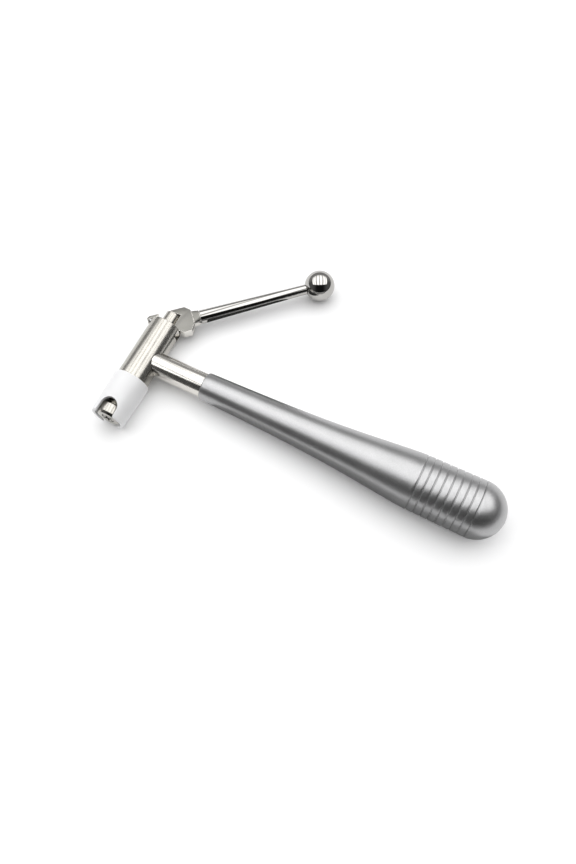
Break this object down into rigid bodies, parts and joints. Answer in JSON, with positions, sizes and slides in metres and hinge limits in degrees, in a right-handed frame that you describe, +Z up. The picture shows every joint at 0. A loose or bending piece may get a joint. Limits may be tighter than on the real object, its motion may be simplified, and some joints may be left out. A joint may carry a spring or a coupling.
{
  "type": "lever-operated collet tool",
  "caption": "Hand-held collet tool: tapered grip with a round ribbed end, cross barrel with a slotted collet in a white windowed nose sleeve, and a ball-ended lever that pushes the plunger.",
  "frame": {"origin": "centre of the bounding box at its lowest height, with the tool lying flat", "axes": "+X along the grip towards its fat end, +Y along the barrel towards the plunger and lever, +Z up out of the flat plane that holds grip, barrel and lever"},
  "size_m": [0.1778, 0.1082, 0.025],
  "materials": {
    "grip_aluminium": "bead-blasted and silver anodised",
    "satin_steel": "turned satin",
    "polished_steel": "mirror polished",
    "matt_steel": "milled matt",
    "hardware_steel": "plain",
    "bronze": "turned",
    "white_plastic": "satin white",
    "black_rubber": "moulded"
  },
  "bodies": {
    "handle": {"grip_handle": "grip_aluminium", "grip_set_screw": "hardware_steel", "neck_bar": "polished_steel", "neck_stud": "hardware_steel", "barrel": "satin_steel", "rear_bush": "bronze", "front_bush": "bronze", "bush_screw": "hardware_steel", "sleeve_o_ring": "black_rubber", "nose_sleeve": "white_plastic", "pivot_pin": "hardware_steel", "return_spring": "hardware_steel"},
    "lever": {"lever_head": "matt_steel", "lever_rod": "polished_steel", "ball_knob": "polished_steel"},
    "plunger": {"plunger": "satin_steel", "push_rod": "hardware_steel", "spring_washer": "hardware_steel", "collet_pusher": "hardware_steel", "collet": "satin_steel"},
    "nut": {"collet_nut": "satin_steel"}
  },
  "joints": [
    {"name": "lever_squeeze", "type": "hinge", "parent": "handle", "child": "lever", "pos_m": [-0.08688, -0.0045, 0.0125], "axis": [0, 0, 1], "range_deg": [-8, 0], "stiffness_Nm_per_rad": 0.15, "springref_deg": 11.46},
    {"name": "plunger_slide", "type": "slide", "parent": "handle", "child": "plunger", "axis": [0, -1, 0], "range_m": [0, 0.001], "deforming": ["return_spring"]},
    {"name": "nut_turn", "type": "hinge", "parent": "handle", "child": "nut", "pos_m": [-0.07977, -0.05379, 0.0125], "axis": [0, 1, 0], "range_deg": [-180, 180]}
  ],
  "couplings": [
    {"joint": "plunger_slide", "follows": "lever_squeeze", "m_per_rad": -0.007}
  ]
}
